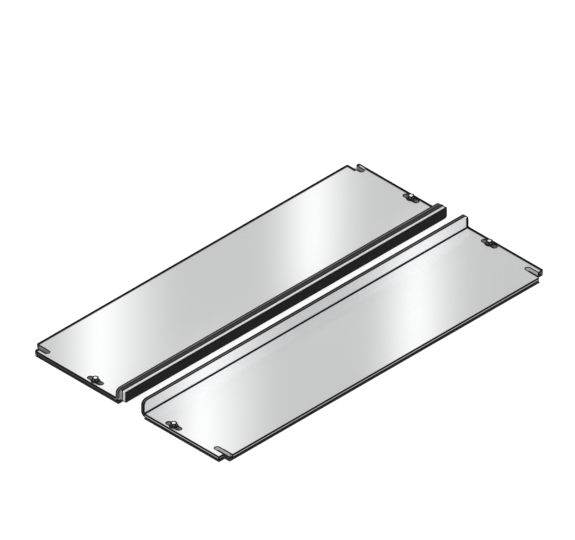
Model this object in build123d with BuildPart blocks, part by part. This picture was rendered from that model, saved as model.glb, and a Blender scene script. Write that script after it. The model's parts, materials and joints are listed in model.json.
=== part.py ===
from build123d import *
import os
from math import cos, pi, radians, tan

# Floor plate of a floor-standing enclosure: two folded steel halves, screwed down side by side,
# with a cable gap between them and a rubber-faced foam seal on the rear half's flange.
# All sizes are in millimetres. +X runs along the plates, +Y points from the front half to the
# rear one and +Z is up. The origin is the middle of the four screws, level with the undersides.

# Sheet steel of both halves
sheet = 8.0
bend_radius = 3.0  # inside the fold
plate_length = 928.0
rear_depth = 254.0  # from the flange's gap side to the outer edge
front_depth = 236.5
rear_flange_rise = 22.0  # above the pan's top
front_flange_rise = 30.5
rear_flange_corner = 11.0
front_flange_corner = 12.0

# Cable gap, from the seal's face to the front flange
cable_gap = 48.0
gap_middle = -7.5

# Seal on the rear flange: a stiff backing on the steel, then foam, then rubber towards the gap
backing_thickness = 7.5
foam_thickness = 6.5
rubber_thickness = 3.0
rubber_edge = 0.8
seal_height = 26.0  # from the flange's top down past the pan's top
seal_end_inset = 5.0  # short of the plate's ends
seal_corner = 6.5  # lower right corner, seen from the gap

# Screw pattern, slots and tabs
screw_inset = 13.0  # from the plate's end
screw_pitch_y = 224.0
slot_width = 10.5
slot_length = 39.0
rear_open_slot_inset = 14.5  # middle of the slot, from the plate's end
front_open_slot_inset = 20.0
rear_open_slot_depth = 40.5  # from the outer edge to the round end
front_open_slot_depth = 44.0
tab_recess = 14.0  # the tab beside an open slot stops this far short of the outer edge
tab_corner = 3.0
outer_corner = 3.0

# Hexagon flange screw
shank_diameter = 8.0
shank_length = 16.0
shank_tip = 1.2
collar_diameter = 17.9
collar_rim = 1.6
collar_slope = 25.0  # degrees
rim_edge = 0.5
hex_across_flats = 13.0
head_height = 8.0
head_bevel = 30.0  # degrees, on the corners of the hexagon's top
dish_diameter = 8.5
dish_depth = 0.5

# Places along the plates and across the gap
screw_pitch_x = plate_length - 2 * screw_inset
seal_face_y = gap_middle + cable_gap / 2
rubber_back_y = seal_face_y + rubber_thickness
foam_back_y = rubber_back_y + foam_thickness
rear_flange_y = foam_back_y + backing_thickness
front_flange_y = gap_middle - cable_gap / 2
rear_flange_top = sheet + rear_flange_rise

# Each half is drawn on a plane whose Y axis points away from the gap
rear_deck = Plane.XY
front_deck = Plane.XY.rotated((0, 0, 180))


def folded_plate(
    deck, flange_y, depth, flange_rise, flange_corner, open_slot_inset, open_slot_depth
):
    """One half of the floor: a flat pan, with its edge along the gap folded up into a flange.

    flange_y is the flange's gap side on the deck's Y axis, and depth runs from there to the
    outer edge. The folded section is extruded along the whole length, then trimmed to the
    outline seen from above, which holds the slots and the tabs.
    """
    section = Plane(deck.origin, x_dir=deck.y_dir, z_dir=deck.x_dir)
    outer_y = flange_y + depth
    top = sheet + flange_rise
    corner_cut = open_slot_inset + slot_width / 2
    with BuildPart() as plate:
        with BuildSketch(section.offset(-plate_length / 2)):
            with BuildLine():
                FilletPolyline(
                    (outer_y, 0),
                    (flange_y, 0),
                    (flange_y, top),
                    radius=bend_radius + sheet,
                )
                offset(amount=sheet, side=Side.RIGHT)
            make_face()
        extrude(amount=plate_length)
        with BuildSketch(deck) as outline:
            with Locations((0, flange_y)):
                Rectangle(plate_length, depth, align=(Align.CENTER, Align.MIN))
            with Locations((0, outer_y)):
                with GridLocations(plate_length - corner_cut, 0, 2, 1):
                    Rectangle(corner_cut, 2 * tab_recess, mode=Mode.SUBTRACT)
                with GridLocations(plate_length - 2 * open_slot_inset, 0, 2, 1):
                    SlotOverall(2 * open_slot_depth, slot_width, rotation=90, mode=Mode.SUBTRACT)
            tab_tips = outline.vertices().group_by(Axis.Y)[-2]
            fillet(tab_tips, tab_corner)
            outer_edge_ends = outline.vertices().group_by(Axis.Y)[-1]
            fillet(outer_edge_ends, outer_corner)
            with Locations((0, screw_pitch_y / 2)):
                with GridLocations(screw_pitch_x, 0, 2, 1):
                    SlotOverall(slot_length, slot_width, rotation=90, mode=Mode.SUBTRACT)
        extrude(amount=top, mode=Mode.INTERSECT)
        flange_ends = plate.edges().filter_by(Axis.Y).group_by(Axis.Z)[-1]
        fillet(flange_ends, flange_corner)
    return plate


def seal_layer(back_y, thickness, edge_radius=0):
    """A flat strip on the gap side of the rear flange, its upper edge level with the flange's."""
    length = plate_length - 2 * seal_end_inset
    with BuildPart() as layer:
        with BuildSketch(Plane.XZ.offset(-back_y)) as face:
            with Locations((0, rear_flange_top)):
                Rectangle(length, seal_height, align=(Align.CENTER, Align.MAX))
            lower_right = face.vertices().group_by(Axis.Y)[0].sort_by(Axis.X)[-1]
            fillet(lower_right, seal_corner)
        extrude(amount=thickness)
        if edge_radius:
            gap_side = layer.faces().sort_by(Axis.Y)[0]
            fillet(gap_side.edges(), edge_radius)
    return layer


def flange_screw(x, y):
    """A hexagon flange screw, seated on the sheet with its shank through the slot at x, y."""
    seat = Plane((x, y, sheet))
    axial = Plane(seat.origin, x_dir=seat.x_dir, z_dir=-seat.y_dir)
    turning_axis = Axis(seat.origin, seat.z_dir)
    hex_flat = hex_across_flats / 2
    hex_corner = hex_flat / cos(pi / 6)
    bevel_drop = (hex_corner - hex_flat) * tan(radians(head_bevel))
    rim = collar_diameter / 2
    collar_top = collar_rim + (rim - hex_flat) * tan(radians(collar_slope))
    with BuildPart() as screw:
        with BuildSketch(seat):
            RegularPolygon(hex_flat, 6, major_radius=False)
        extrude(amount=head_height)
        # The hexagon's upper corners are turned off on a cone
        with BuildSketch(axial):
            with BuildLine():
                Polyline(
                    (0, 0),
                    (hex_corner, 0),
                    (hex_corner, head_height - bevel_drop),
                    (hex_flat, head_height),
                    (0, head_height),
                    close=True,
                )
            make_face()
        revolve(axis=turning_axis, mode=Mode.INTERSECT)
        # The collar under the hexagon slopes down to its rim
        with BuildSketch(axial) as collar:
            with BuildLine():
                Polyline(
                    (0, 0),
                    (rim, 0),
                    (rim, collar_rim),
                    (hex_flat, collar_top),
                    (0, collar_top),
                    close=True,
                )
            make_face()
            chamfer(collar.vertices().sort_by(Axis.X)[-2:], rim_edge)
        revolve(axis=turning_axis)
        with BuildSketch(seat.offset(head_height)):
            Circle(dish_diameter / 2)
        extrude(amount=-dish_depth, mode=Mode.SUBTRACT)
        with BuildSketch(seat):
            Circle(shank_diameter / 2)
        extrude(amount=-shank_length)
        chamfer(screw.faces().sort_by(Axis.Z)[0].edges(), shank_tip)
    return screw


pieces = {
    "rear_plate": folded_plate(
        rear_deck,
        rear_flange_y,
        rear_depth,
        rear_flange_rise,
        rear_flange_corner,
        rear_open_slot_inset,
        rear_open_slot_depth,
    ),
    "front_plate": folded_plate(
        front_deck,
        -front_flange_y,
        front_depth,
        front_flange_rise,
        front_flange_corner,
        front_open_slot_inset,
        front_open_slot_depth,
    ),
    "seal_backing": seal_layer(rear_flange_y, backing_thickness),
    "seal_foam": seal_layer(foam_back_y, foam_thickness),
    "seal_face": seal_layer(rubber_back_y, rubber_thickness, rubber_edge),
}
for row, y in (("rear", screw_pitch_y / 2), ("front", -screw_pitch_y / 2)):
    for end, x in (("left", -screw_pitch_x / 2), ("right", screw_pitch_x / 2)):
        pieces[f"{row}_{end}_screw"] = flange_screw(x, y)

os.makedirs("parts", exist_ok=True)
for name, piece in pieces.items():
    piece.part.label = name
    export_step(piece.part, f"parts/{name}.step")
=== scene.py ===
"""Looks of an enclosure floor plate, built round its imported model.

The two folded sheets keep their meshes and get a zinc finish. The three layers of the seal and the four
flange screws are new surfaces that stand where their plain solids are. All lengths are in metres.
"""

import json
from functools import partialmethod
from math import cos, pi, radians, sin, tan

import bpy
import numpy as np
from bpy.props import FloatProperty, FloatVectorProperty, PointerProperty
from mathutils import Matrix, Vector


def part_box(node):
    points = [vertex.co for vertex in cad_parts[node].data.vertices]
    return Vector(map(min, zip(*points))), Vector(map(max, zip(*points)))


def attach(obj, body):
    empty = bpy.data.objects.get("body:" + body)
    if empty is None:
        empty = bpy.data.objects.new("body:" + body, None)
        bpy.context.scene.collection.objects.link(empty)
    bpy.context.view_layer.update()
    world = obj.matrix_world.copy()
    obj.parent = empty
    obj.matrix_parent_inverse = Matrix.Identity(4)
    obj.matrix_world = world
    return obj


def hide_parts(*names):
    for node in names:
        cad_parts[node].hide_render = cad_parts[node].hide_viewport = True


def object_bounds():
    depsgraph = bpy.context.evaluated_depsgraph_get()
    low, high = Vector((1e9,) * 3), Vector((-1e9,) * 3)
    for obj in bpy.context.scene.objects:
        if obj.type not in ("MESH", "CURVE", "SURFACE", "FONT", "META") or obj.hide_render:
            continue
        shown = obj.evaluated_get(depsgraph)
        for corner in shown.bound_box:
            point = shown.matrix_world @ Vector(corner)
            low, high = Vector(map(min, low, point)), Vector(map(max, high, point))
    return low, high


bl_info = {
    "name": "Enclosure Floor Plate",
    "version": (1, 0, 0),
    "blender": (4, 5, 0),
    "location": "View3D > Sidebar > Floor Plate",
    "description": "Zinc sheets, a rubber-faced foam seal and flange screws round a fixed frame",
    "category": "Object",
}

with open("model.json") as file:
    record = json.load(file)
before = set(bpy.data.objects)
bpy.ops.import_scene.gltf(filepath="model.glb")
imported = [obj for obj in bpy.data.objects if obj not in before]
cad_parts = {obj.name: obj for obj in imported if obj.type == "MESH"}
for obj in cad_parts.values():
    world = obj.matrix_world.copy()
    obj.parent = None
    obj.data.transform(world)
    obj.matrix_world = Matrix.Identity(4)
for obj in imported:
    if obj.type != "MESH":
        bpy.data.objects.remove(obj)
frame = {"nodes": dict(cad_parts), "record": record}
CAD_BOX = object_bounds()

# Places that follow from the frame
REAR_LOW, REAR_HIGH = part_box("rear_plate")
FRONT_LOW, FRONT_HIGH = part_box("front_plate")
BACKING_LOW, BACKING_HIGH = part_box("seal_backing")
FOAM_LOW, FOAM_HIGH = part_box("seal_foam")
RUBBER_LOW, RUBBER_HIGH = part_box("seal_face")
SCREW_NODES = ("rear_left_screw", "rear_right_screw", "front_left_screw", "front_right_screw")
SCREW_LOW, SCREW_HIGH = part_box("rear_right_screw")
SHEET_THICKNESS = 0.008
SHEET_TOP = REAR_LOW.z + SHEET_THICKNESS
HALF_LENGTH = REAR_HIGH.x
SCREW_X, SCREW_Y, _ = (SCREW_LOW + SCREW_HIGH) / 2
COLLAR_RADIUS = (SCREW_HIGH.x - SCREW_LOW.x) / 2
OPENINGS = {opening["name"]: opening["box_m"] for opening in frame["record"]["physics"]["openings"]}
REAR_SLOT_LOW, REAR_SLOT_HIGH = OPENINGS["rear_right_open_slot"]
FRONT_SLOT_LOW, FRONT_SLOT_HIGH = OPENINGS["front_right_open_slot"]
REAR_SLOT_X = (REAR_SLOT_LOW[0] + REAR_SLOT_HIGH[0]) / 2
FRONT_SLOT_X = (FRONT_SLOT_LOW[0] + FRONT_SLOT_HIGH[0]) / 2
# From the outer edge to the middle of an open slot's round end
REAR_SLOT_RUN = REAR_HIGH.y - REAR_SLOT_LOW[1]
FRONT_SLOT_RUN = FRONT_SLOT_HIGH[1] - FRONT_LOW.y

# The photograph's frame and the drawing's scale in it
PHOTO_WIDTH = 575
PHOTO_HEIGHT = 540
PIXELS_PER_METRE = 494.8
ORIGIN_PIXEL = (292.4, 312.15)  # the model's origin, level with the sheets' upper faces

# Where the soft border of a mark begins and ends, as shares of its width
RIM_BORDER = (0.75, 1.15)
LINE_BORDER = (0.7, 1.2)
CUT_BORDER = (0.8, 1.2)
SKIN_BORDER = (0.7, 1.3)
TOP_SKIN_BORDER = (0.4, 1.0)
CORNER_BORDER = (0.2, 0.8)
# Over which distances from the outline a face stops counting as a cut edge or a slot's wall
CUT_EDGE = (0.00012, 0.0002)
SLOT_WALL = (0.0003, 0.0006)
ZINC_TONES = (0.86, 1.14)  # its darkest and lightest, as shares of its colour
SOFT_GIVE = 0.0003  # how far the foam and the rubber give way here and there
# Painted shadow: the floor under the sheets is painted darker
SHADE_TONE = 0.2  # the floor under the sheets, as a share of its grey level elsewhere
TWICE_MIRRORED_LEVEL = 1.06  # what is seen between the bands after two mirrorings
FLOOR_REACH = 6.0
KEY_PLACE = Vector((-1.3, 0.5, 1.9))
KEY_SIZE = 2.4
CAMERA_DISTANCE = 3.0


def metres(name, description, default):
    """A setting in metres."""
    return FloatProperty(
        name=name, description=description, default=default, subtype="DISTANCE", unit="LENGTH", precision=5
    )


def degrees(name, description, default):
    """A setting that turns, given in degrees."""
    return FloatProperty(
        name=name, description=description, default=radians(default), subtype="ANGLE", unit="ROTATION"
    )


def rgb(name, place, default):
    """The colour of a place."""
    return FloatVectorProperty(
        name=name, description=f"Colour of {place}", default=default, subtype="COLOR", size=3, min=0, max=1
    )


def number(name, description, default, low=0, high=100, **kind):
    """A setting without a dimension, or one whose subtype and unit are given."""
    return FloatProperty(name=name, description=description, default=default, min=low, max=high, **kind)


def times(name, place, default):
    """How many times wider than elsewhere a rim is at a place."""
    return number(name, f"How many times wider the rim is {place}", default, low=0.1, high=3)


class FloorPlateSheet(bpy.types.PropertyGroup):
    """Sizes and finish of the two folded sheets."""

    slot_width: metres("Slot width", "Width of the open and closed slots", 0.0105)
    slot_length: metres("Slot length", "Overall length of a closed slot", 0.039)
    tab_recess: metres("Tab recess", "How far the end tabs stop short of the outer edge", 0.014)
    bend_radius: metres("Bend radius", "Inside radius of the fold", 0.003)
    rear_corner: metres("Rear flange corner", "Radius of the rear flange's upper corners", 0.011)
    front_corner: metres("Front flange corner", "Radius of the front flange's upper corners", 0.012)
    zinc: rgb("Zinc", "the clean coated sheet", (0.598, 0.600, 0.604))
    roughness: number("Roughness", "Roughness of the clean sheet", 0.2, high=1, subtype="FACTOR")
    # Painted light and shade: the bare cut steel is painted lighter or darker on each kind of face. Mirrored
    # rays see clean zinc there.
    front_cut_colour: rgb("Front cut edge", "the cut edges of the front sheet's pan", (0.3, 0.3, 0.304))
    rear_cut_colour: rgb("Rear cut edge", "the cut edges of the rear sheet's pan", (0.03, 0.03, 0.0305))
    front_slot_shading: rgb("Front slot wall", "the walls of the front sheet's open slots", (0.4, 0.4, 0.404))
    dark_slot_shading: rgb("Dark slot wall", "the walls of the other slots", (0.15, 0.15, 0.152))
    front_end_colour: rgb("Front flange end", "the cut ends of the front flange", (0.02, 0.02, 0.0203))
    rear_end_colour: rgb("Rear flange end", "the cut ends of the rear flange", (0.09, 0.09, 0.091))
    flange_cut_colour: rgb("Flange cut edge", "the flanges' tops and the tabs' ends", (0.10, 0.10, 0.101))
    # The scorched rims' colour, also used for the painted shade in the crease and round the screw collars
    rim_and_shade_colour: rgb("Scorched rim", "the rims that cutting left and of the crease", (0.012, 0.012, 0.0124))
    rim_width: metres("Rim width", "Width of the scorched rim on the faces", 0.0027)
    heavy_rim: times("Heavy rim", "along the rear edge and at the right ends", 2.7)
    rear_tab_rim: times("Rear tab rim", "beside the open slot on the rear sheet's right tab", 1.7)
    slot_rim: times("Slot rim", "round the slots", 0.8)
    cut_rim_width: metres("Cut rim width", "Width of the scorched rims on the cut edges themselves", 0.0024)
    front_lower_rim: times("Front lower rim", "on the outer side of the front sheet's cut edges", 1.3)
    rear_lower_rim: times("Rear lower rim", "on the outer side of the rear sheet's cut edges", 0.7)
    front_gap_rim: times("Front gap rim", "on the gap side of the front flange's top", 1.7)
    rear_gap_rim: times("Rear gap rim", "on the gap side of the rear flange's top", 0.8)
    front_top_rim: times("Front top rim", "where the front flange's top meets its inner face", 0.75)
    rear_top_rim: times("Rear top rim", "where the rear flange's top meets its inner face", 1.2)
    # Painted contact shade where a screw's collar sits on the sheet
    ring_width: metres("Ring width", "Width of the dark ring round a screw's collar", 0.0014)
    # Painted shade along the fold's crease
    crease_width: metres("Crease width", "Half width of the dark line in the fold", 0.0023)
    crease_angle: degrees("Crease angle", "Where in the fold it runs, from the flange to the pan", 60)


class FloorPlateSeal(bpy.types.PropertyGroup):
    """Sizes and finish of the seal's backing, foam and rubber."""

    backing_edge: metres("Backing edge", "Radius of the backing strip's long edges", 0.0005)
    foam_edge: metres("Foam edge", "Radius of the foam strip's long edges", 0.0014)
    rubber_edge: metres("Rubber edge", "Radius of the facing's long edges", 0.0008)
    corner: metres("End corner", "Radius of the lower right corner, seen from the gap", 0.0065)
    foam_crown: metres("Foam crown", "How far the strip's upper edges fall away from its middle", 0.0007)
    foam_cell: metres("Foam cell", "Size of the foam's cells", 0.0007)
    rubber_grain: metres("Rubber grain", "Size of the grain on the rubber and the backing", 0.0011)
    skin: metres("Skin", "Thickness of the dark skin on the backing and under the foam", 0.0024)
    sealed_end: metres("Sealed end", "How far the dark coat reaches over the foam's right end", 0.004)
    backing_colour: rgb("Backing", "the stiff backing strip", (0.028, 0.028, 0.0285))
    skin_colour: rgb("Skin colour", "the skin on the backing and under the foam", (0.007, 0.007, 0.0071))
    core_colour: rgb("Core", "the backing strip's core, bare at its cut ends", (0.5, 0.5, 0.503))
    foam_colour: rgb("Foam", "the foam", (0.80, 0.80, 0.79))
    # Painted light: the foam's left end is painted paler than the foam
    foam_cut_colour: rgb("Foam cut", "the foam where its left end is cut", (0.95, 0.95, 0.94))
    rubber_colour: rgb("Rubber", "the rubber", (0.0035, 0.0035, 0.0037))


class FloorPlateScrew(bpy.types.PropertyGroup):
    """Sizes and finish of the hexagon flange screws."""

    shank: metres("Shank", "Outer diameter of the thread", 0.008)
    pitch: metres("Pitch", "Pitch of the thread", 0.00125)
    flats: metres("Across flats", "Width of the hexagon across its flats", 0.013)
    rim: metres("Collar rim", "Height of the collar at its rim", 0.0016)
    rim_edge: metres("Rim edge", "Width of the chamfers on the collar's rim", 0.0005)
    collar_slope: degrees("Collar slope", "Slope of the collar under the hexagon", 25)
    head_bevel: degrees("Head bevel", "Slope of the cone that trims the hexagon's upper corners", 30)
    dish: metres("Dish", "Diameter of the dish in the head", 0.0085)
    dish_depth: metres("Dish depth", "Depth of the dish in the head", 0.0005)
    tip: metres("Tip", "Width of the chamfer on the tip", 0.0012)
    # Painted highlight: the bright crown of the head
    crown_highlight_colour: rgb("Crown", "the bright crown of the head", (0.82, 0.82, 0.83))
    side_colour: rgb("Sides", "the darkened sides, collar and shank", (0.02, 0.02, 0.0205))
    worn_colour: rgb("Worn flats", "the middle of the flats, where tools grip", (0.22, 0.22, 0.223))


class FloorPlateStage(bpy.types.PropertyGroup):
    """Floor, sky, lamp and the pale boards that the metal mirrors in light bands."""

    floor_colour: number("Floor", "Grey level of the floor under the lamps", 0.28, high=1, subtype="FACTOR")
    floor_glow: number("Floor glow", "What lifts the floor to white", 0.9, high=1, subtype="FACTOR")
    shade_inset: metres("Shade inset", "How far under the sheets the floor stops glowing", 0.0033)
    far_fade: metres("Far fade", "How far past the right ends and rear edge its glow returns", 0.016)
    sky_level: number("Sky level", "Strength of the sky as a light", 0.72, high=2)
    key_power: number("Key power", "Power of the soft key lamp", 16, subtype="POWER", unit="POWER")
    board_height: metres("Board height", "Height of the boards over the sheets", 0.35)
    board_margin: metres("Board margin", "How far a board passes the place that it is mirrored in", 0.12)
    board_base: number("Board level", "Brightness of the boards between their light bands", 0.94)
    board_peak: number("Band level", "Brightness in the middle of a light band", 1.86)
    flange_peak: number("Flange band level", "The same on the front flange's board", 2.05)
    rear_band: metres("Rear band", "Place of the rear sheet's first band, along X less Y", -0.558)
    front_band: metres("Front band", "Place of the front sheet's first band, along X less Y", -0.264)
    band_pitch: metres("Band pitch", "Distance between a sheet's two light bands", 0.616)
    band_rise: metres("Band rise", "Width of a band's left flank", 0.15)
    first_fall: metres("First band fall", "Width of the first band's right flank", 0.24)
    second_fall: metres("Second band fall", "Width of the second band's right flank", 0.17)
    band_power: number("Band power", "How much the bands gather to their middle", 1.5, low=1, high=3)


def join(value, socket):
    """Links a field to a socket, or sets the socket to a plain value."""
    if isinstance(value, Field):
        socket.id_data.links.new(value.socket, socket)
    else:
        socket.default_value = value


class Field:
    """A value that varies over a surface. Arithmetic on fields adds Math nodes to their tree."""

    def __init__(self, socket):
        self.socket = socket
        self.tree = socket.id_data

    def node(self, kind, values, **settings):
        """Adds a node, joins the values to its inputs by label or number and returns its outputs."""
        node = self.tree.nodes.new("ShaderNode" + kind)
        for name, setting in settings.items():
            setattr(node, name, setting)
        for label, value in values.items():
            join(value, node.inputs[label])
        return [Field(socket) for socket in node.outputs]

    def math(self, operation, *others):
        """The result of an operation of the Math node on this field and the others."""
        return self.node("Math", dict(enumerate((self, *others))), operation=operation)[0]

    __add__ = partialmethod(math, "ADD")
    __sub__ = partialmethod(math, "SUBTRACT")
    __mul__ = partialmethod(math, "MULTIPLY")
    __truediv__ = partialmethod(math, "DIVIDE")
    __abs__ = partialmethod(math, "ABSOLUTE")
    least = partialmethod(math, "MINIMUM")
    most = partialmethod(math, "MAXIMUM")
    above = partialmethod(math, "GREATER_THAN")

    def __rsub__(self, other):
        return self.node("Math", {0: other, 1: self}, operation="SUBTRACT")[0]

    def reach(self, other):
        """The length of the vector from zero to (self, other)."""
        return (self * self + other * other).math("SQRT")

    def held(self):
        """The same, but no less than 0 and no more than 1."""
        return self.most(0.0).least(1.0)

    def mix(self, first, second):
        """A value that goes from first to second as this field goes from 0 to 1."""
        return self * (second - first) + first

    def ramp(self, start, end, low=0.0, high=1.0, form="SMOOTHSTEP"):
        """A step from low at start to high at end."""
        values = dict(enumerate((self, start, end, low, high)))
        return self.node("MapRange", values, interpolation_type=form)[0]

    line = partialmethod(ramp, form="LINEAR")

    fall = partialmethod(ramp, low=1.0, high=0.0)

    def past(self, width, border):
        """0 within the width and 1 past it. The border is where the step begins and ends, in widths."""
        return self.ramp(border[0] * width, border[1] * width)

    def within(self, width, border):
        """1 within the width and 0 past it, with the same kind of border."""
        return self.fall(border[0] * width, border[1] * width)

    def split(self):
        """The three coordinates of a vector field."""
        return self.node("SeparateXYZ", {0: self})

    def mapped(self, scale=(1, 1, 1), turn=0.0):
        """A vector field, turned about Z and then scaled."""
        return self.node("Mapping", {"Vector": self, "Rotation": (0, 0, turn), "Scale": scale})[0]

    def noise(self, scale=1.0, detail=2.0, roughness=0.5):
        """Soft random values about a half, at this many cells a metre."""
        values = {"Vector": self, "Scale": scale, "Detail": detail, "Roughness": roughness}
        return self.node("TexNoise", values)[0]

    def cells(self):
        """Distance to the nearest of a swarm of random points, one in each unit cube."""
        return self.node("TexVoronoi", {"Vector": self, "Scale": 1.0})[0]

    def tint(self, first, second):
        """A colour that goes from first to second as this field goes from 0 to 1."""
        first, second = (c if isinstance(c, Field) else (*c, 1.0) for c in (first, second))
        return self.node("Mix", {0: self, 6: first, 7: second}, data_type="RGBA")[2]

    def bump(self):
        """Normals of a surface raised by this field, in metres."""
        return self.node("Bump", {"Strength": 1.0, "Distance": 1.0, "Height": self})[0]


def weighted(fields, **weights):
    """The sum of the named fields, each times its weight."""
    first, *others = (fields[label] * weight for label, weight in weights.items())
    return sum(others, first)


def toned(colour, tone):
    """A plain colour, darker or lighter by this factor."""
    return tuple(min(1.0, tone * level) for level in colour)


def ray(tree, label):
    """A value of the ray that meets the surface, such as 1 for camera rays."""
    return Field(tree.nodes.new("ShaderNodeLightPath").outputs[label])


class Group:
    """A shader node group that is filled through its input fields and named outputs."""

    def __init__(self, name, inputs, outputs):
        self.tree = bpy.data.node_groups.new(name, "ShaderNodeTree")
        for way, labels in (("INPUT", inputs), ("OUTPUT", outputs)):
            for label in labels:
                kind = "NodeSocketVector" if label == "Position" else "NodeSocketFloat"
                self.tree.interface.new_socket(label, in_out=way, socket_type=kind)
        source = self.tree.nodes.new("NodeGroupInput")
        self.inputs = [Field(source.outputs[label]) for label in inputs]
        self.sink = self.tree.nodes.new("NodeGroupOutput")

    def give(self, label, field):
        """Joins a field to the output of this name."""
        join(field, self.sink.inputs[label])


def placed(group_name, position, **values):
    """Puts a node group into the tree of position and returns its outputs by name."""
    node = position.tree.nodes.new("ShaderNodeGroup")
    node.node_tree = bpy.data.node_groups[group_name]
    join(position, node.inputs["Position"])
    for label, value in values.items():
        node.inputs[label.replace("_", " ").capitalize()].default_value = value
    return {socket.name: Field(socket) for socket in node.outputs}


def new_material(name, **settings):
    """A material with one Principled BSDF, whose plain settings stay on its own sockets.
    Returns the material, the shader's sockets and the object's own coordinates."""
    material = bpy.data.materials.new(name)
    material.use_nodes = True
    shader = material.node_tree.nodes["Principled BSDF"]
    for label, value in settings.items():
        shader.inputs[label.replace("_", " ").title().replace("Ior", "IOR")].default_value = value
    coordinates = material.node_tree.nodes.new("ShaderNodeTexCoord")
    return material, shader.inputs, Field(coordinates.outputs["Object"])


def sheet_edges_group(looks):
    """Distances to the cut edges and to the fold of a sheet that lies with its flange towards -Y.

    Each edge's distance is that of a simple shape: straight edges by subtraction, slots by the distance
    to their middle line less half their width, and the flange's upper corners by a rounded rectangle.
    Where a rim is to be wider, the distance is divided by how many times wider it is.
    The cut distance runs over a cut edge, from the nearer face of the sheet: the place across the sheet is
    the fold's outer radius less the length to its middle, counted only short of it. The crease runs down
    the fold's inner face. At an open slot's mouth the wall counts as an outer edge.
    """
    group = Group(
        "Sheet edges",
        (
            "Position", "Flange side", "Outer edge", "Open slot", "Slot run", "Flange top", "Flange corner",
            "Right end", "Outer rim", "Tab rim", "Lower rim", "Gap rim", "Top rim",
        ),
        ("Edge distance", "Slot distance", "Fold distance", "Cut distance", "Screw distance", "Tab end"),
    )
    position, flange_side, outer_edge, open_slot, slot_run, flange_top, corner = group.inputs[:7]
    right_end, outer_rim, tab_rim, lower_rim, gap_rim, top_rim = group.inputs[7:]
    x, y, z = position.split()
    half_slot = looks.slot_width / 2
    from_middle = abs(x)
    inwards = outer_edge - y

    past_side = from_middle - HALF_LENGTH + corner
    past_top = z - flange_top + corner
    inside = past_side.most(past_top).least(0.0)
    to_end = corner - past_side.most(0.0).reach(past_top.most(0.0)) - inside
    heavier = (x * right_end).above(0.0)
    on_tab = from_middle.above(open_slot)
    beside_slot = on_tab * (slot_run - inwards).above(0.0)
    end_rim = heavier.mix(1.0, beside_slot.mix(looks.heavy_rim, tab_rim))
    to_end = to_end / (past_top - past_side).above(0.0).mix(end_rim, top_rim)

    to_outer = (inwards - on_tab * looks.tab_recess) / outer_rim

    to_open_slot = (inwards - slot_run).most(0.0).reach(from_middle - open_slot) - half_slot
    outer_run = 2 * looks.tab_recess
    past_tab = (1.0 - on_tab) * (outer_run - inwards).above(0.0)
    open_rim = past_tab.mix(looks.slot_rim, heavier.mix(1.0, outer_rim))

    half_run = looks.slot_length / 2 - half_slot
    past_closed_slot = (abs(y - SCREW_Y) - half_run).most(0.0)
    to_closed_slot = past_closed_slot.reach(from_middle - SCREW_X) - half_slot

    to_slots = (to_open_slot / open_rim).least(to_closed_slot / looks.slot_rim)
    group.give("Edge distance", to_end.least(to_outer).least(to_slots))
    mouth_depth = 3 * looks.rim_width
    group.give("Slot distance", to_open_slot.least(to_closed_slot).most(mouth_depth - inwards))
    tab_end_depth = looks.tab_recess + looks.rim_width
    group.give("Tab end", on_tab * (tab_end_depth - inwards).above(0.0))

    from_flange_side = y - flange_side
    crease_y = SHEET_THICKNESS + looks.bend_radius * (1 - cos(looks.crease_angle))
    crease_z = SHEET_THICKNESS + looks.bend_radius * (1 - sin(looks.crease_angle))
    group.give("Fold distance", (from_flange_side - crease_y).reach(z - crease_z))

    fold_radius = SHEET_THICKNESS + looks.bend_radius
    across = fold_radius - (fold_radius - from_flange_side).most(0.0).reach((fold_radius - z).most(0.0))
    on_flange = z.above(fold_radius)
    from_outside = across / on_flange.mix(lower_rim, gap_rim)
    from_inside = (SHEET_THICKNESS - across) / on_flange.mix(1.0, top_rim)
    group.give("Cut distance", from_outside.least(from_inside))
    group.give("Screw distance", (from_middle - SCREW_X).reach(abs(y) - SCREW_Y) - COLLAR_RADIUS)


def rolled_finish_group():
    """Streaks of rolling along X, a soft mottle, scuffs and the slight sag of a thin sheet. All but the
    scuffs, which are from 0 to 1, are about zero."""
    group = Group("Rolled finish", ("Position",), ("Streaks", "Mottle", "Scuffs", "Sag"))
    position, = group.inputs
    streaks = position.mapped(scale=(14, 1600, 1600)).noise(detail=3, roughness=0.6)
    group.give("Streaks", streaks - 0.5)
    mottle = position.noise(scale=150, detail=3, roughness=0.65)
    group.give("Mottle", mottle - 0.5)
    scratches = position.mapped(scale=(9, 260, 260), turn=radians(24)).noise(detail=4, roughness=0.7)
    patches = position.noise(scale=7, detail=1)
    group.give("Scuffs", scratches.ramp(0.64, 0.74) * patches.ramp(0.5, 0.66))
    sag = position.mapped(scale=(2.2, 6, 6)).noise(detail=0)
    group.give("Sag", sag - 0.5)


def cell_skin_group():
    """Small round cells and a coarser unevenness, each about zero, for foam and rubber."""
    group = Group("Cell skin", ("Position", "Cell size"), ("Cells", "Unevenness"))
    position, cell_size = group.inputs
    in_cells = position.node("VectorMath", {0: position, 1: cell_size}, operation="DIVIDE")[0]
    mean_distance = 0.45
    group.give("Cells", in_cells.cells() - mean_distance)
    group.give("Unevenness", in_cells.noise(scale=0.12, detail=3) - 0.5)


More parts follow.
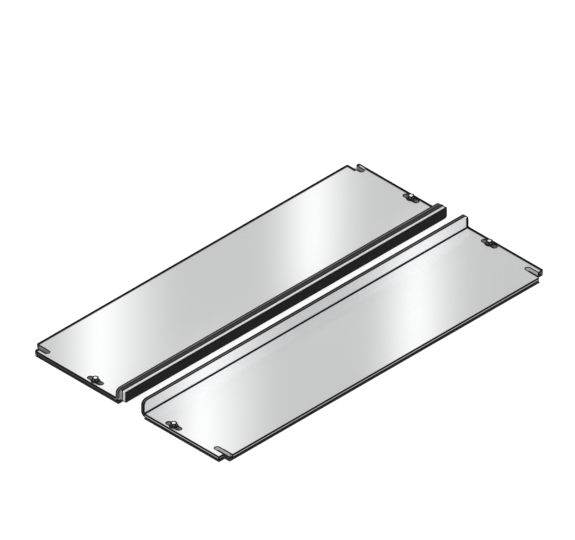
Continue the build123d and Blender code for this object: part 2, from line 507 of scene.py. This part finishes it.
def sheet_material(half, turn, slot_shading, flange_side, flange_top, **places):
    """Bright zinc on a rolled sheet, with bare cut edges, a scorched rim beside them, painted shade in the
    fold's crease and painted contact shade round each screw's collar.

    The bare cut steel is painted lighter or darker on each kind of face, as painted light and shade. The
    rim is a matt oxide, and the crease and the ring are painted shade in the same matt dark colour. All
    three are fainter on the flange's gap side, and the sheets don't mirror them or the cut steel's painted
    tones in each other. A half's own settings are those that begin with its name.
    """
    looks = bpy.context.scene.floor_plate_sheet
    corner, cut_colour, end_colour, lower_rim, gap_rim, top_rim = (
        getattr(looks, f"{half}_{setting}")
        for setting in ("corner", "cut_colour", "end_colour", "lower_rim", "gap_rim", "top_rim")
    )
    material, shader, position = new_material(f"{half}_zinc_sheet", specular_ior_level=0.0)
    own = position.mapped(turn=turn)
    _, across, height = own.split()
    edges = placed(
        "Sheet edges", own, flange_side=flange_side, flange_top=flange_top, flange_corner=corner,
        lower_rim=lower_rim, gap_rim=gap_rim, top_rim=top_rim, **places,
    )
    finish = placed("Rolled finish", position)

    rim = edges["Edge distance"].within(looks.rim_width, RIM_BORDER)
    # Painted shade: a dark line along the fold's crease
    crease = edges["Fold distance"].within(looks.crease_width, LINE_BORDER)
    # Painted contact shade round each screw's collar
    ring = edges["Screw distance"].within(looks.ring_width, LINE_BORDER) * height.above(SHEET_TOP / 2)
    skin_depth, faint = 0.0005, 0.5
    marks = rim.most(crease).most(ring) * across.above(flange_side + skin_depth).mix(faint, 1.0)

    # Painted light and shade: a lighter or darker tone of the bare cut steel for each kind of face
    on_flange_top = (flange_top - height).within(corner, CORNER_BORDER)
    bare = on_flange_top.tint(end_colour, looks.flange_cut_colour)
    past_fold = across.above(flange_side + SHEET_THICKNESS + looks.bend_radius)
    bare = past_fold.tint(bare, cut_colour)
    bare = edges["Tab end"].tint(bare, looks.flange_cut_colour)
    in_slot = edges["Slot distance"].fall(*SLOT_WALL)
    open_slot = edges["Screw distance"].above(looks.slot_length / 2)
    bare = in_slot.tint(bare, open_slot.tint(looks.dark_slot_shading, slot_shading))

    # Down a slot's wall the rim is half as wide as on the face round it
    slot_rim_width = looks.slot_rim * looks.rim_width / 2
    slot_rim = (SHEET_TOP - height).within(slot_rim_width, CUT_BORDER)
    cut_rim = in_slot.mix(edges["Cut distance"].within(looks.cut_rim_width, CUT_BORDER), slot_rim)
    direct = 1.0 - ray(position.tree, "Is Glossy Ray")
    cut = edges["Edge distance"].fall(*CUT_EDGE) * direct
    dark = cut.mix(marks * direct, cut_rim)

    lightness = weighted(finish, Streaks=0.10, Mottle=0.07, Scuffs=0.05) + 0.5
    clean = lightness.tint(*(toned(looks.zinc, tone) for tone in ZINC_TONES))
    join(dark.tint(cut.tint(clean, bare), looks.rim_and_shade_colour), shader["Base Color"])
    join(1.0 - dark, shader["Metallic"])
    roughness = weighted(finish, Streaks=0.10, Mottle=0.08, Scuffs=0.08) + looks.roughness
    join(roughness, shader["Roughness"])
    join(weighted(finish, Streaks=0.000003, Mottle=0.000004, Sag=0.0002).bump(), shader["Normal"])
    return material


def seal_material(name, colour, contrast, cell_size, cell_depth, roughness, specular, coats=()):
    """A matt material of small cells. Their middles are paler than the walls between them by the contrast,
    and the surface rises by the cell depth from the middles to the walls, or falls where it is negative.
    Each of the coats is a pair: a function that gives its mask at a position, and its colour."""
    material, shader, position = new_material(name, specular_ior_level=specular)
    skin = placed("Cell skin", position, cell_size=cell_size)
    shade = (weighted(skin, Cells=0.7, Unevenness=0.8) + 0.5).held()
    coloured = shade.tint(toned(colour, 1 + contrast), toned(colour, 1 - contrast))
    for mask, coat_colour in coats:
        coloured = mask(position).tint(coloured, coat_colour)
    join(coloured, shader["Base Color"])
    join(weighted(skin, Unevenness=0.15) + roughness, shader["Roughness"])
    join(weighted(skin, Cells=cell_depth, Unevenness=0.0003).bump(), shader["Normal"])
    return material


def backing_skin(position):
    """1 on the side of the backing strip that the foam is on, from its face to the depth of the skin."""
    _, y, _ = position.split()
    return (y - BACKING_LOW.y).within(bpy.context.scene.floor_plate_seal.skin, SKIN_BORDER)


def backing_core(position):
    """1 on the backing strip's cut ends, inside the skin."""
    skin = bpy.context.scene.floor_plate_seal.skin
    x, y, z = position.split()
    core = (y - BACKING_LOW.y).past(skin, SKIN_BORDER) * (z - BACKING_LOW.z).past(skin, SKIN_BORDER)
    core = core * (BACKING_HIGH.z - z).past(skin, TOP_SKIN_BORDER)
    end_depth = 0.0004
    return core * abs(x).above(BACKING_HIGH.x - end_depth)


def foam_cut(position):
    """1 on the foam's left end, which is painted paler than the foam, as painted light."""
    x, _, _ = position.split()
    end_depth = (0.0006, 0.0012)
    return (x - FOAM_LOW.x).fall(*end_depth)


def foam_coat(position):
    """1 on the foam's coated right end and along its underside."""
    looks = bpy.context.scene.floor_plate_seal
    x, _, z = position.split()
    end = (FOAM_HIGH.x - x).within(looks.sealed_end, (0.9, 1.1))
    return end.most((z - FOAM_LOW.z).within(looks.skin, (1.1, 1.5)))


def screw_material():
    """Darkened plating on the sides, collar and thread, and a painted highlight: a bright metal crown on the
    head.

    The plating is a half-matt oxide, worn in the middle of the hexagon's flats. The sheets mirror the
    screws all in the highlight's bright metal, as a painted reflection.
    """
    looks = bpy.context.scene.floor_plate_screw
    material, shader, position = new_material("plated_flange_screw", specular_ior_level=0.0)
    finish = placed("Rolled finish", position)
    x, y, z = position.split()
    from_axis = (abs(x) - SCREW_X).reach(abs(y) - SCREW_Y)
    below_top = SCREW_HIGH.z - z
    # Depths below the head's top, each from where to where it fades
    crown_end, worn_start, worn_end = (0.0006, 0.0009), (0.0016, 0.0024), (0.004, 0.0048)
    # Painted highlight: the bright crown, and the whole screw for mirrored rays
    crown = from_axis.within(looks.dish, (0.37, 0.44)) * below_top.fall(*crown_end)
    clean = crown.most(ray(position.tree, "Is Glossy Ray"))
    # A flat is nearest to the axis in its middle, at half the width across flats
    flat = looks.flats / 2
    on_flats = from_axis.within(flat, (1.01, 1.05)) * from_axis.above(0.97 * flat)
    on_flats = on_flats * below_top.ramp(*worn_start) * below_top.fall(*worn_end)
    worn = (weighted(finish, Mottle=0.8, Streaks=0.3) + 0.5).held()
    sides = worn.tint(toned(looks.side_colour, 0.7), toned(looks.side_colour, 1.5))
    sides = on_flats.tint(sides, looks.worn_colour)
    join(clean.tint(sides, looks.crown_highlight_colour), shader["Base Color"])
    plating_metallic, roughness = 0.1, 0.36
    join(clean.mix(plating_metallic, 1.0), shader["Metallic"])
    join(weighted(finish, Mottle=0.15) + roughness, shader["Roughness"])
    join(weighted(finish, Mottle=0.00001).bump(), shader["Normal"])
    return material


def add_object(name, data):
    """A new object in the scene, with this data."""
    added = bpy.data.objects.new(name, data)
    bpy.context.scene.collection.objects.link(added)
    return added


def add_piece(name, rings, material, node, crisp=radians(35)):
    """A closed piece from rings of points along a path, one row of the array for each ring. It rides on
    the object's body, in place of the node's plain solid.

    Neighbouring rings are joined by quads, and the first and last ring by a fan to a pole in its middle.
    The rings run counter-clockwise about the direction of the path, so that the faces point outwards.
    Edges sharper than the crisp angle are shaded as edges.
    """
    rows, columns, _ = rings.shape
    own = np.arange(rows * columns).reshape(rows, columns)
    beside = np.roll(own, -1, axis=1)
    quads = np.stack((own[:-1], beside[:-1], beside[1:], own[1:]), axis=-1).reshape(-1, 4)
    first = np.full(columns, rows * columns)
    first_fan = np.stack((first, beside[0], own[0]), axis=-1)
    last_fan = np.stack((first + 1, own[-1], beside[-1]), axis=-1)
    poles = rings[[0, -1]].mean(axis=1)
    vertices = np.concatenate((rings.reshape(-1, 3), poles))
    mesh = bpy.data.meshes.new(name)
    mesh.from_pydata(vertices.tolist(), [], quads.tolist() + first_fan.tolist() + last_fan.tolist())
    mesh.polygons.foreach_set("use_smooth", np.ones(len(mesh.polygons), bool))
    mesh.set_sharp_from_angle(angle=crisp)
    mesh.materials.append(material)
    piece = add_object(name, mesh)
    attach(piece, "root")
    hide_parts(node)
    return piece


def strip_rings(low, high, edge, corner, stations=260, per_side=13):
    """Rings of a strip along X between two corners of its box.

    A section is a rounded rectangle: each point of a plain rectangle goes to the nearest point of one
    that is smaller by the edge radius, and back out by that radius. The points of a side stand at the
    sines of even angles, closer together near its ends. Near both ends of the strip the section shrinks
    along a quarter circle, which rounds the end edges. At the right end the underside climbs along a
    quarter circle of the corner radius.
    """
    corner_stations = 14
    to_quarter = np.linspace(0, pi / 2, corner_stations)
    x = np.concatenate((
        low.x + edge * (1 - np.cos(to_quarter[::2])),
        np.linspace(low.x + edge, high.x - corner, stations)[1:-1],
        high.x - corner + corner * np.sin(to_quarter),
    ))
    past_end = np.maximum(low.x + edge - x, x - high.x + edge).clip(0, edge)
    inset = edge - np.sqrt(edge**2 - past_end**2)
    underside = low.z + corner - np.sqrt(corner**2 - (x - high.x + corner).clip(0, corner) ** 2)
    half_size = np.stack(((high.y - low.y) / 2 - inset, (high.z - underside) / 2 - inset), axis=-1)[:, None]
    least_radius = 0.02 * edge
    radius = np.maximum(edge - inset, least_radius)[:, None, None]

    side = np.sin(np.linspace(-pi / 2, pi / 2, per_side, endpoint=False))
    ones = np.ones(per_side)
    square = np.stack((
        np.concatenate((ones, -side, -ones, side)), np.concatenate((side, ones, -side, -ones))
    ), axis=-1)
    plain = square * half_size
    inner = half_size - radius
    nearest = np.clip(plain, -inner, inner)
    outward = plain - nearest
    section = nearest + radius * outward / np.linalg.norm(outward, axis=-1, keepdims=True)

    rings = np.empty((len(x), len(square), 3))
    rings[..., 0] = x[:, None]
    rings[..., 1] = section[..., 0] + (high.y + low.y) / 2
    rings[..., 2] = section[..., 1] + (high.z + underside)[:, None] / 2
    return rings


def waves(x, lengths):
    """A slow random-looking wave along x, from 0 to 1: the mean of sines of these wavelengths."""
    phase_step = 5
    phases = (2 * pi * x / length + phase_step * index for index, length in enumerate(lengths))
    return 0.5 + 0.5 * sum(np.sin(phase) for phase in phases) / len(lengths)


class FLOORPLATE_OT_sheets(bpy.types.Operator):
    """Give both folded sheets their zinc finish, cut edges and creases"""

    bl_idname = "floorplate.sheets"
    bl_label = "Finish Sheets"

    def execute(self, context):
        looks = context.scene.floor_plate_sheet
        sheet_edges_group(looks)
        rolled_finish_group()
        materials = {
            "rear_plate": sheet_material(
                "rear", 0.0, looks.dark_slot_shading,
                flange_side=REAR_LOW.y, flange_top=REAR_HIGH.z, outer_edge=REAR_HIGH.y,
                open_slot=REAR_SLOT_X, slot_run=REAR_SLOT_RUN,
                right_end=1.0, outer_rim=looks.heavy_rim, tab_rim=looks.rear_tab_rim,
            ),
            "front_plate": sheet_material(
                "front", pi, looks.front_slot_shading,
                flange_side=-FRONT_HIGH.y, flange_top=FRONT_HIGH.z, outer_edge=-FRONT_LOW.y,
                open_slot=FRONT_SLOT_X, slot_run=FRONT_SLOT_RUN,
                right_end=-1.0, outer_rim=1.0, tab_rim=looks.heavy_rim,
            ),
        }
        for node, material in materials.items():
            sheet = frame["nodes"][node]
            sheet.material_slots[0].link = "OBJECT"
            sheet.material_slots[0].material = material
        return {"FINISHED"}


class FLOORPLATE_OT_backing(bpy.types.Operator):
    """Build the stiff backing strip that holds the seal to the rear flange"""

    bl_idname = "floorplate.backing"
    bl_label = "Build Backing Strip"

    def execute(self, context):
        looks = context.scene.floor_plate_seal
        cell_skin_group()
        rings = strip_rings(
            BACKING_LOW, BACKING_HIGH, looks.backing_edge, looks.corner, stations=90, per_side=9
        )
        material = seal_material(
            "grey_backing", looks.backing_colour, contrast=0.25, cell_size=looks.rubber_grain,
            cell_depth=0.00002, roughness=0.62, specular=0.2,
            coats=((backing_skin, looks.skin_colour), (backing_core, looks.core_colour)),
        )
        add_piece("backing_strip", rings, material, "seal_backing")
        return {"FINISHED"}


class FLOORPLATE_OT_foam(bpy.types.Operator):
    """Build the pale foam strip between the backing and the rubber"""

    bl_idname = "floorplate.foam"
    bl_label = "Build Foam Strip"

    def execute(self, context):
        looks = context.scene.floor_plate_seal
        rings = strip_rings(FOAM_LOW, FOAM_HIGH, looks.foam_edge, looks.corner)
        # The strip is crowned: a point falls by the square of its distance from the middle plane
        middle, half_size = (FOAM_LOW + FOAM_HIGH) / 2, (FOAM_HIGH - FOAM_LOW) / 2
        off_middle = (rings[..., 1] - middle.y) / half_size.y
        upwards = ((rings[..., 2] - middle.z) / half_size.z).clip(0, 1)
        sag = SOFT_GIVE * waves(rings[..., 0], (0.061, 0.089, 0.137, 0.23))
        rings[..., 2] -= upwards * (looks.foam_crown * off_middle**2 + sag)
        # The foam's left end is painted paler, as painted light
        material = seal_material(
            "pale_closed_cell_foam", looks.foam_colour, contrast=0.14, cell_size=looks.foam_cell,
            cell_depth=-0.00016, roughness=0.86, specular=0.25,
            coats=((foam_cut, looks.foam_cut_colour), (foam_coat, looks.skin_colour)),
        )
        foam = add_piece("foam_strip", rings, material, "seal_foam")
        return {"FINISHED"}


class FLOORPLATE_OT_rubber(bpy.types.Operator):
    """Build the black rubber facing on the foam"""

    bl_idname = "floorplate.rubber"
    bl_label = "Build Rubber Facing"

    def execute(self, context):
        looks = context.scene.floor_plate_seal
        rings = strip_rings(RUBBER_LOW, RUBBER_HIGH, looks.rubber_edge, looks.corner)
        # The gap side gives way a little here and there, and the side on the foam stays flat
        to_gap = (RUBBER_HIGH.y - rings[..., 1]) / (RUBBER_HIGH.y - RUBBER_LOW.y)
        rings[..., 1] += to_gap * SOFT_GIVE * waves(rings[..., 0], (0.073, 0.121, 0.19, 0.31))
        material = seal_material(
            "black_sheet_rubber", looks.rubber_colour, contrast=0.4, cell_size=looks.rubber_grain,
            cell_depth=0.00003, roughness=0.58, specular=0.11,
        )
        add_piece("rubber_facing", rings, material, "seal_face")
        return {"FINISHED"}


def screw_rings(looks, low, high, turn):
    """Rings of a flange screw from its tip up to the dish, about the middle of its box.

    The radius is a function of the turning angle and of the place along the outline. On the head it goes
    from the dish's rim to the hexagon, whose distance from the axis is half the flats divided by the
    cosine of the angle from the nearest flat, and the top falls away on a cone outside the flats. On the
    shank it is the outer radius less the thread's depth times a wave that climbs one pitch a turn.
    """
    directions = 96
    angles = np.linspace(0, 2 * pi, directions, endpoint=False)
    around = np.ones_like(angles)
    flat = looks.flats / 2
    hexagon = flat / np.cos((angles + pi / 6) % (pi / 3) - pi / 6)
    seat, top = SHEET_TOP, high.z
    rim_radius = (high.x - low.x) / 2
    dish = looks.dish / 2

    def cone(radius):
        return seat + looks.rim + (rim_radius - radius) * tan(looks.collar_slope)

    # Rings of one radius all round, as pairs of radius and height, from the middle of the dish outwards
    floor = top - looks.dish_depth
    foot = 0.3 * looks.dish_depth
    lip = 0.6 * foot
    dish_outline = np.array((
        (0.5 * dish, floor), (dish - 2 * foot, floor), (dish - lip, floor + 0.2 * foot),
        (dish, floor + foot), (dish, top - lip), (dish + lip, top),
    ))
    crown_rows, crown_spacing = 10, 0.6
    outwards = np.linspace(0, 1, crown_rows + 1)[1:, None] ** crown_spacing
    crown_radius = dish + lip + outwards * (hexagon - dish - lip)
    crown_height = top - (crown_radius - flat).clip(0) * tan(looks.head_bevel)
    side_rows = 5
    down = np.linspace(0, 1, side_rows + 1)[1:, None]
    wall_height = crown_height[-1] + down * (cone(hexagon) - crown_height[-1])
    collar_end = rim_radius - looks.rim_edge * cos(looks.collar_slope)
    collar_radius = hexagon + down * (collar_end - hexagon)
    rim_outline = np.array((
        (rim_radius, seat + looks.rim - looks.rim_edge), (rim_radius, seat + looks.rim_edge),
        (rim_radius - looks.rim_edge, seat), (0.5 * (rim_radius + looks.shank / 2), seat),
        (looks.shank / 2, seat),
    ))

    rows_per_pitch = 12
    run = seat - low.z
    rows = round(run / looks.pitch * rows_per_pitch)
    height = np.linspace(seat, low.z, rows + 1)[1:, None]
    phase = (height / looks.pitch - angles / (2 * pi)) % 1
    flank_slope, crest_width = 1.7, 0.35
    groove = (flank_slope * np.abs(2 * phase - 1) - crest_width).clip(0, 1)
    run_out = ((seat - height) / looks.pitch).clip(0, 1)
    thread_depth = 0.6 * looks.pitch
    thread_radius = looks.shank / 2 - thread_depth * groove * run_out
    tip_cone = looks.shank / 2 - looks.tip + (height - low.z)
    thread_radius = np.minimum(thread_radius, tip_cone)

    radius = np.concatenate((
        dish_outline[:, :1] * around, crown_radius, hexagon * np.ones_like(down), collar_radius,
        rim_outline[:, :1] * around, thread_radius,
    ))[::-1]
    level = np.concatenate((
        dish_outline[:, 1:] * around, crown_height, wall_height, cone(collar_radius),
        rim_outline[:, 1:] * around, height * around,
    ))[::-1]
    middle = (low + high) / 2
    return np.stack((
        middle.x + radius * np.cos(angles + turn), middle.y + radius * np.sin(angles + turn), level
    ), axis=-1)


class FLOORPLATE_OT_screws(bpy.types.Operator):
    """Build the four threaded flange screws, each at its own turn"""

    bl_idname = "floorplate.screws"
    bl_label = "Build Screws"

    def execute(self, context):
        looks = context.scene.floor_plate_screw
        material = screw_material()
        first_turn, turn_step = 11, 17
        for index, node in enumerate(SCREW_NODES):
            low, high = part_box(node)
            turn = radians(first_turn + turn_step * index)
            rings = screw_rings(looks, low, high, turn)
            name = node.replace("_screw", "_flange_screw")
            add_piece(name, rings, material, node, crisp=radians(24))
        return {"FINISHED"}


def stage_sheet(name, low, high, height, material):
    """A level rectangle, facing down when it hangs over the object and up when it lies under it."""
    (left, near), (right, far) = low, high
    corners = [(left, near, height), (right, near, height), (right, far, height), (left, far, height)]
    order = (3, 2, 1, 0) if height > 0 else (0, 1, 2, 3)
    mesh = bpy.data.meshes.new(name)
    mesh.from_pydata(corners, [], [order])
    mesh.materials.append(material)
    sheet = add_object(name, mesh)
    return sheet


def seen_directly(tree):
    """1 for rays that show the background as it is: from the camera, or by way of metal or glass."""
    mirrored = ray(tree, "Is Glossy Ray")
    return ray(tree, "Is Camera Ray").most(mirrored).most(ray(tree, "Is Transmission Ray"))


def under_sheets(position, looks):
    """1 on the floor under either sheet, from the shade inset inwards, and 0 elsewhere.
    Past the right ends and the rear edge it fades over the far fade instead, and over less of it near the
    rear left and front right corners."""
    x, y, _ = position.split()
    from_middle = abs(x)
    sheet = bpy.context.scene.floor_plate_sheet
    inset = looks.shade_inset
    half_slot = sheet.slot_width / 2
    least_fade = 0.006
    corner_x = half_slot - REAR_SLOT_X
    rear_fade = x.ramp(corner_x, corner_x + 2 * looks.far_fade, least_fade, looks.far_fade)
    rear_edge = REAR_HIGH.y - from_middle.above(REAR_SLOT_X - half_slot) * sheet.tab_recess
    rear = y.above(REAR_LOW.y + inset) * y.fall(rear_edge, rear_edge + rear_fade)
    front_edge = from_middle.above(FRONT_SLOT_X) * sheet.tab_recess + (FRONT_LOW.y + inset)
    front = (FRONT_HIGH.y - inset - y).above(0.0) * (y - front_edge).above(0.0)
    corner_y = FRONT_LOW.y + sheet.tab_recess
    right_fade = y.ramp(corner_y, corner_y + 2 * looks.far_fade, least_fade, looks.far_fade)
    ends = x.above(inset - HALF_LENGTH) * x.fall(HALF_LENGTH, right_fade + HALF_LENGTH)
    return (rear + front) * ends


def floor_material(looks):
    """Pale matt floor, lifted to white for the camera and for mirrored rays. Under the sheets it carries a
    painted shadow: a darker grey, and no lift for the camera.
    """
    material, shader, position = new_material(
        "pale_floor", roughness=1.0, specular_ior_level=0.0, emission_color=(1, 1, 1, 1)
    )
    shade = under_sheets(position, looks)
    grey = (looks.floor_colour,) * 3
    # Painted shadow: under the sheets the floor is darker and doesn't glow for the camera
    join(shade.tint(grey, toned(grey, SHADE_TONE)), shader["Base Color"])
    hidden = ray(position.tree, "Is Camera Ray") * shade
    join((seen_directly(position.tree) - hidden) * looks.floor_glow, shader["Emission Strength"])
    return material


def board_material(name, looks, first_band, peak, slant=-1, offset=0.0, level=1.0):
    """A board that glows evenly, with two brighter bands across it.

    Its place is x plus slant times y plus offset. A band climbs to its middle over the rise and falls
    over its own fall, along a straight line that the power then gathers towards the middle. A level
    other than 1 is what rays see that were mirrored twice, and the bands are only for them.
    """
    material, shader, position = new_material(
        name, base_color=(0, 0, 0, 1), roughness=1.0, specular_ior_level=0.0
    )
    x, y, _ = position.split()
    place = x + y * slant + offset

    def band(middle, fall):
        return place.line(middle - looks.band_rise, middle).least(place.line(middle + fall, middle))

    first = band(first_band, looks.first_fall)
    second = band(first_band + looks.band_pitch, looks.second_fall)
    glow = first.most(second).math("POWER", looks.band_power)
    if level != 1.0:
        # The depth is a whole number, one for each mirroring
        twice = ray(position.tree, "Glossy Depth").above(1.5)
        glow = glow * twice
        level = twice.mix(1.0, level)
    join(level, shader["Emission Strength"])
    join(glow.tint((looks.board_base,) * 3, (peak,) * 3), shader["Emission Color"])
    return material


def add_board(name, low, high, height, material):
    """Hangs a board that only mirrored rays can see."""
    board = stage_sheet(name, low, high, height, material)
    for kind in ("camera", "diffuse", "transmission", "volume_scatter", "shadow"):
        setattr(board, f"visible_{kind}", False)


def add_boards(looks):
    """Hangs the boards where the flat metal mirrors them at the photograph's angle.

    From there a sheet's point at x, y is mirrored up along (1, 1, 1), so it shows the board at x + h,
    y + h. The front flange's inner face and the strip beside it are mirrored twice, along (1, -1, 1).
    """
    height = looks.board_height
    margin = looks.board_margin
    gap_middle = (REAR_LOW.y + FRONT_HIGH.y) / 2
    left = -HALF_LENGTH + height - margin
    right = HALF_LENGTH + height + margin
    for name, band, low_y, high_y in (
        ("rear_board", looks.rear_band, gap_middle, REAR_HIGH.y + margin),
        ("front_board", looks.front_band, FRONT_LOW.y - margin, gap_middle),
    ):
        material = board_material(name, looks, band, looks.board_peak)
        add_board(name, (left, low_y + height), (right, high_y + height), height, material)
    flange_face = FRONT_HIGH.y - SHEET_THICKNESS
    zinc = bpy.context.scene.floor_plate_sheet.zinc[1]
    material = board_material(
        "flange_board", looks, looks.front_band, looks.flange_peak,
        slant=1, offset=-2 * flange_face, level=TWICE_MIRRORED_LEVEL / zinc,
    )
    middle = flange_face - height
    reach = FRONT_HIGH.z + margin
    add_board("flange_board", (left, middle - reach), (right, middle + reach), height, material)


def add_lamp(looks):
    """A wide soft key lamp from the upper left of the photograph."""
    data = bpy.data.lights.new("soft_key", "AREA")
    data.shape = "DISK"
    data.size = KEY_SIZE
    data.energy = looks.key_power
    lamp = add_object("soft_key", data)
    lamp.location = KEY_PLACE
    lamp.rotation_euler = (-KEY_PLACE).to_track_quat("-Z", "Y").to_euler()
    lamp.visible_glossy = False


def add_sky(looks):
    """A plain white sky, dimmer as a light than as a background."""
    world = bpy.data.worlds.new("plain_sky")
    world.use_nodes = True
    background = world.node_tree.nodes["Background"]
    background.inputs["Color"].default_value = (1, 1, 1, 1)
    seen = seen_directly(world.node_tree)
    join(seen * (1 - looks.sky_level) + looks.sky_level, background.inputs["Strength"])
    bpy.context.scene.world = world


def add_camera():
    """A parallel camera at the drawing's angle, which puts the model's origin on its pixel."""
    data = bpy.data.cameras.new("camera")
    data.type = "ORTHO"
    data.ortho_scale = PHOTO_WIDTH / PIXELS_PER_METRE
    back = Vector((-1, -1, 1)).normalized()
    right = Vector((1, -1, 0)).normalized()
    up = back.cross(right)
    across = (PHOTO_WIDTH / 2 - ORIGIN_PIXEL[0]) / PIXELS_PER_METRE
    above = (ORIGIN_PIXEL[1] - PHOTO_HEIGHT / 2) / PIXELS_PER_METRE
    origin = Vector((0, 0, SHEET_TOP))
    camera = add_object("camera", data)
    camera.location = origin + right * across + up * above + back * CAMERA_DISTANCE
    camera.rotation_euler = Matrix((right, up, back)).transposed().to_euler()
    bpy.context.scene.camera = camera


class FLOORPLATE_OT_stage(bpy.types.Operator):
    """Set up the floor, sky, lamp, mirrored boards and camera"""

    bl_idname = "floorplate.stage"
    bl_label = "Set Up Stage"

    def execute(self, context):
        looks = context.scene.floor_plate_stage
        context.scene.view_settings.view_transform = "Standard"
        low, high = (-FLOOR_REACH, -FLOOR_REACH), (FLOOR_REACH, FLOOR_REACH)
        stage_sheet("floor", low, high, CAD_BOX[0].z, floor_material(looks))
        add_boards(looks)
        add_lamp(looks)
        add_sky(looks)
        add_camera()
        return {"FINISHED"}


LOOKS = {
    "floor_plate_sheet": FloorPlateSheet,
    "floor_plate_seal": FloorPlateSeal,
    "floor_plate_screw": FloorPlateScrew,
    "floor_plate_stage": FloorPlateStage,
}
OPERATORS = (
    FLOORPLATE_OT_sheets, FLOORPLATE_OT_backing, FLOORPLATE_OT_foam, FLOORPLATE_OT_rubber,
    FLOORPLATE_OT_screws, FLOORPLATE_OT_stage,
)


class FLOORPLATE_PT_sidebar(bpy.types.Panel):
    """Sizes, finishes and build steps of the floor plate"""

    bl_label = "Floor Plate"
    bl_idname = "FLOORPLATE_PT_sidebar"
    bl_space_type = "VIEW_3D"
    bl_region_type = "UI"
    bl_category = "Floor Plate"

    def draw(self, context):
        for name, group in LOOKS.items():
            box = self.layout.box()
            for setting in group.__annotations__:
                box.prop(getattr(context.scene, name), setting)
        for operator in OPERATORS:
            self.layout.operator(operator.bl_idname)


CLASSES = (*LOOKS.values(), *OPERATORS, FLOORPLATE_PT_sidebar)


def register():
    """Makes the classes known and gives the scene its settings."""
    for kind in CLASSES:
        bpy.utils.register_class(kind)
    for name, group in LOOKS.items():
        setattr(bpy.types.Scene, name, PointerProperty(type=group))


def unregister():
    """Takes the settings and the classes back."""
    for name in LOOKS:
        delattr(bpy.types.Scene, name)
    for kind in reversed(CLASSES):
        bpy.utils.unregister_class(kind)


def main():
    """Runs every build step."""
    register()
    bpy.ops.floorplate.sheets()
    bpy.ops.floorplate.backing()
    bpy.ops.floorplate.foam()
    bpy.ops.floorplate.rubber()
    bpy.ops.floorplate.screws()
    bpy.ops.floorplate.stage()


if __name__ == "__main__":
    main()
